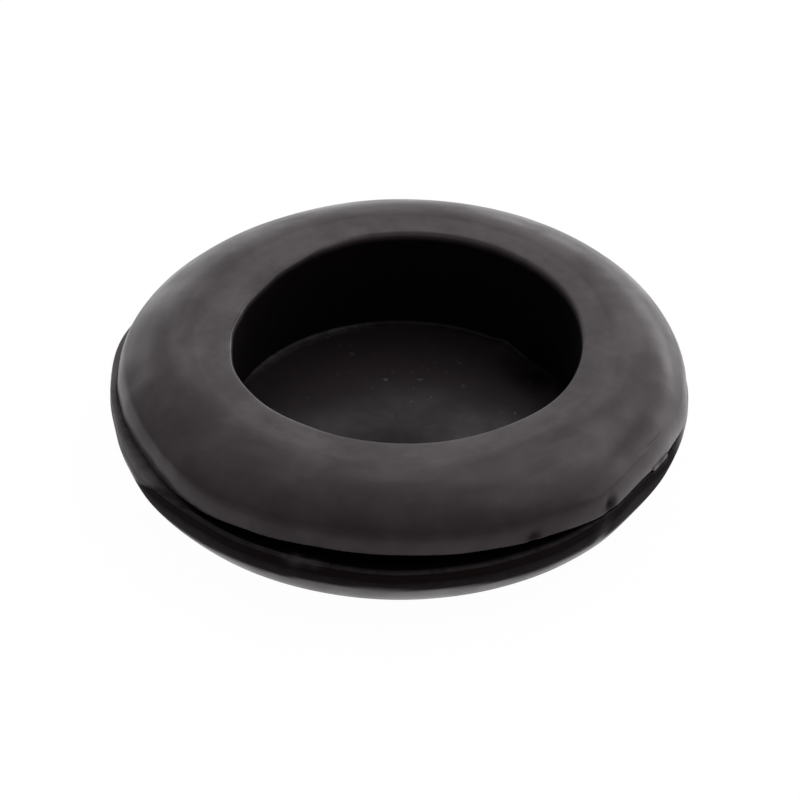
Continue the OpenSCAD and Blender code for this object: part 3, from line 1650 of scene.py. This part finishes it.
    def _leave_flash(self, body: MouldedMesh) -> None:
        """Raises the thin flash that the mould left along part of the lower lip.

        Args:
            body: The moulding.
        """
        lip_r, top = self.section.lower_d / 2, self.section.lower_thickness
        flash = self.flash

        def on_lip(middle: Vector, normal: Vector) -> bool:
            """Says whether a face lies on the rounded top of the lower lip.

            Args:
                middle: The face's middle, in metres.
                normal: Its normal.

            Returns:
                Whether it does, within the run of flash.
            """
            angle = angle_of(middle)
            outer = lip_r + self.rim_sag.lower_spread.at(angle)
            level = top + self.rim_sag.lower_rise.at(angle)
            return (
                flash.start < angle < flash.end
                and math.hypot(middle.x, middle.y) > (outer - flash.inward) * MM
                and (level - flash.below) * MM < middle.z < (level + flash.above) * MM
                and normal.z > flash.facing
            )

        body.pull_faces(on_lip, [((0.0, 0.0, flash.height), 1.0)])

    def _press_nick(self, body: MouldedMesh, nick: Nick) -> None:
        """Presses one nick into the upper lip, as a small hollow with a soft edge, and paints
        shade into it.

        Args:
            body: The moulding.
            nick: The nick.
        """
        turn = math.radians(nick.angle)
        place = self._on_rim(nick.angle, nick.height)
        edge = self._on_rim(nick.angle, self.lip_edge).z

        def near(middle: Vector, normal: Vector) -> bool:
            """Says whether a face of the upper lip lies round the nick."""
            return (middle - place).length < nick.fine_reach * MM and middle.z > edge

        def on_lip(spot: Vector) -> bool:
            """Says whether a place lies above the groove."""
            return spot.z > edge

        body.refine(near)
        inward = (-nick.depth * math.cos(turn), -nick.depth * math.sin(turn))
        for press in nick.presses:
            lift = Vector((0.0, 0.0, press * nick.tall * MM))
            body.push(place + lift, (*inward, -nick.depth * nick.droop), nick.width, on_lip)
        # Painted shade: the hollow is painted darker and duller.
        shade = nick.painted_darkness * nick.shade_share
        body.paint(Layer.SHADE, place, nick.width * nick.shade_reach, shade)
        body.paint(Layer.DULL, place, nick.width * nick.dull_reach, nick.painted_darkness)

    def _tear_rim(self, body: MouldedMesh) -> None:
        """Leaves a torn tongue of rubber hanging from the upper lip.

        Args:
            body: The moulding.
        """
        tear = self.tear
        turn = math.radians(tear.angle)
        root = self._on_rim(tear.angle, tear.top)
        edge = self._on_rim(tear.angle, self.lip_edge).z

        def near(middle: Vector, normal: Vector) -> bool:
            """Says whether a face of the upper lip lies round the tear."""
            return (middle - root).length < tear.fine_reach * MM and middle.z > edge

        def torn(middle: Vector, normal: Vector) -> bool:
            """Says whether a face is part of what hangs down.

            Args:
                middle: The face's middle, in metres.
                normal: Its normal.

            Returns:
                Whether it is.
            """
            angle = angle_of(middle)
            low, high = (self._on_rim(angle, level).z for level in (self.lip_edge, tear.top))
            return (
                abs(angle - tear.angle) < tear.half_width
                and low < middle.z < high
                and math.hypot(middle.x, middle.y) > tear.inner_radius * MM
            )

        body.refine(near)
        moves = [
            ((out * math.cos(turn), out * math.sin(turn), -down), growth)
            for out, down, growth in tear.pulls
        ]
        body.pull_faces(torn, moves)


@dataclass(frozen=True)
class SoftLamp:
    """One large soft lamp on a dome round the table.

    Args:
        name: Its name.
        azimuth: Its direction round the axis, in degrees, where the back is at 90.
        elevation: Its angle above the table, in degrees.
        width: Its width, in metres.
        depth: Its other side, in metres.
        brightness: How bright its face is, where 1 is white.
    """

    name: str
    azimuth: float
    elevation: float
    width: float
    depth: float
    brightness: float

    def hang(self, target: Vector, distance: float) -> None:
        """Hangs the lamp up and turns it to what it lights.

        Args:
            target: What it points at, in metres.
            distance: How far from the origin it hangs, in metres.
        """
        lift = math.radians(self.elevation)
        place = around(self.azimuth, math.cos(lift), math.sin(lift)) * distance / MM
        data = bpy.data.lights.new(self.name, "AREA")
        data.shape = "RECTANGLE"
        data.size, data.size_y = self.width, self.depth
        data.energy = self.brightness * math.pi * self.width * self.depth
        lamp = bpy.data.objects.new(self.name, data)
        lamp.location = place
        lamp.rotation_euler = (target - place).to_track_quat("-Z", "Y").to_euler()
        bpy.context.scene.collection.objects.link(lamp)


@dataclass(frozen=True)
class Studio:
    """The pale table, the soft lamps round it and the room's own light.

    Args:
        room: How bright the room is, where 1 is white.
        floor_grey: How pale the table is.
        floor_glow: How much of what is seen of the table is its own white.
        glow_level: How bright that white is.
        floor_radius: Radius of the table's foot, in mm.
        floor_foot: Height of that foot, in mm.
        floor_sides: How many corners the table has.
        floor_pulls: For each pull of the table, how far it rises in mm and how much it grows.
        floor_crease: The angle in degrees past which its edges stay sharp.
        distance: How far off the lamps hang, in metres.
        lamps: The lamps.
    """

    room: float = 0.30
    floor_grey: float = 0.75
    floor_glow: float = 0.94
    glow_level: float = 1.04
    floor_radius: float = 1180.0
    floor_foot: float = -30.0
    floor_sides: int = 96
    floor_pulls: tuple[FlatPoint, ...] = ((4.0, 1.015), (22.0, 1.0), (4.0, 1 / 1.015))
    floor_crease: float = 30.0
    distance: float = 0.52
    lamps: tuple[SoftLamp, ...] = (
        SoftLamp("lamp_low_right", 35.0, 9.0, 0.40, 0.12, 1.41),
        SoftLamp("lamp_low_back_right", 65.0, 9.0, 0.40, 0.12, 1.51),
        SoftLamp("lamp_low_back_left", 115.0, 9.0, 0.40, 0.12, 0.83),
        SoftLamp("lamp_side", 0.0, 20.0, 0.30, 0.20, 1.03),
        SoftLamp("lamp_back", 90.0, 30.0, 0.50, 0.30, 0.39),
        SoftLamp("lamp_high_right", 10.0, 55.0, 0.50, 0.36, 0.60),
        SoftLamp("lamp_high_back", 50.0, 55.0, 0.50, 0.36, 0.48),
        SoftLamp("lamp_high_left", 130.0, 55.0, 0.50, 0.36, 0.33),
    )

    def build(self, target: Vector) -> None:
        """Builds the floor, the lamps and the room.

        Args:
            target: What the lamps point at, in metres.
        """
        self._lay_floor()
        for lamp in self.lamps:
            lamp.hang(target, self.distance)
        self._light_room()

    def _lay_floor(self) -> None:
        """Lays a round pale table top with a rounded edge, whose far side is out of sight."""
        top = MouldedMesh("floor")
        top.begin(self.floor_radius, self.floor_foot, self.floor_sides)
        for lift, scale in self.floor_pulls:
            top.pull_ring(lift, 0.0, scale, Vector((0.0, 0.0, 0.0)))
        top.leave()
        top.finish_normals(self.floor_crease)
        graph = NodeGraph.of_material("pale_floor")
        rays = graph.add("ShaderNodeLightPath")
        seen = Signal(graph, rays.outputs["Is Camera Ray"])
        seen = seen + Signal(graph, rays.outputs["Is Glossy Ray"])
        seen = seen + Signal(graph, rays.outputs["Is Transmission Ray"])
        grey = (*(self.floor_grey,) * 3, 1.0)
        paint = graph.add("ShaderNodeBsdfDiffuse", None, {"Color": grey})
        glow = graph.add(
            "ShaderNodeEmission", None, {"Color": WHITE, "Strength": self.glow_level}
        )
        graph.close(graph.shader_mix(seen * self.floor_glow, paint, glow))
        top.piece.data.materials.append(graph.owner)

    def _light_room(self) -> None:
        """Gives the room a white look and a dim light of its own."""
        world = bpy.data.worlds.new("room")
        bpy.context.scene.world = world
        graph = NodeGraph(world, "ShaderNodeOutputWorld")
        seen = graph.signal("ShaderNodeLightPath", "Is Camera Ray")
        lit, white = (
            graph.add("ShaderNodeBackground", None, {"Color": WHITE, "Strength": level})
            for level in (self.room, 1.0)
        )
        graph.close(graph.shader_mix(seen, lit, white))


@dataclass(frozen=True)
class TableCamera:
    """A long lens that looks down on the table from the front.

    Args:
        elevation: Angle above the table, in degrees.
        roll: Turn about the line of sight, in degrees.
        distance: From the point that it is aimed at, in mm.
        lens: Focal length, in mm.
        sensor: Width of the sensor, in mm.
        height: Height of the point that it is aimed past, in mm.
        aside: How far the aim lies right of the axis, in mm.
        below: How far the aim lies below that point, in mm.
        near: Distance from which things are seen, in metres.
        far: Distance up to which they are seen, in metres.
    """

    elevation: float = 36.9
    roll: float = 0.59
    distance: float = 450.0
    lens: float = 376.4
    sensor: float = 36.0
    height: float = AIM_HEIGHT
    aside: float = 0.152
    below: float = 0.369
    near: float = 0.01
    far: float = 10.0

    def set_up(self) -> None:
        """Makes the camera and gives it to the scene."""
        lift = math.radians(self.elevation)
        back = Vector((0.0, -math.cos(lift), math.sin(lift)))
        right = Vector((1.0, 0.0, 0.0))
        up = back.cross(right)
        aim = Vector((0.0, 0.0, self.height)) + right * self.aside - up * self.below
        turned = Matrix((right, up, back)).transposed()
        data = bpy.data.cameras.new("table_camera")
        data.lens = self.lens
        data.sensor_width = self.sensor
        data.clip_start, data.clip_end = self.near, self.far
        camera = bpy.data.objects.new("table_camera", data)
        camera.matrix_world = (
            Matrix.Translation((aim + back * self.distance) * MM)
            @ turned.to_4x4()
            @ Matrix.Rotation(math.radians(self.roll), 4, "Z")
        )
        bpy.context.scene.collection.objects.link(camera)
        bpy.context.scene.camera = camera


def main() -> None:
    """Builds the scene in order and reports each piece."""
    logging.basicConfig(level=logging.INFO, format="%(name)s: %(message)s")
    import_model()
    TableCamera().set_up()
    LOG.info("camera set up")
    rubber = Grommet().make()
    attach(rubber, "root")
    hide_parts("grommet")
    LOG.info("%s: %d faces", rubber.name, len(rubber.data.polygons))
    Studio().build(around(0.0, 0.0, AIM_HEIGHT))
    LOG.info("studio lit")
    bpy.context.scene.view_settings.view_transform = "Standard"


if __name__ == "__main__":
    main()
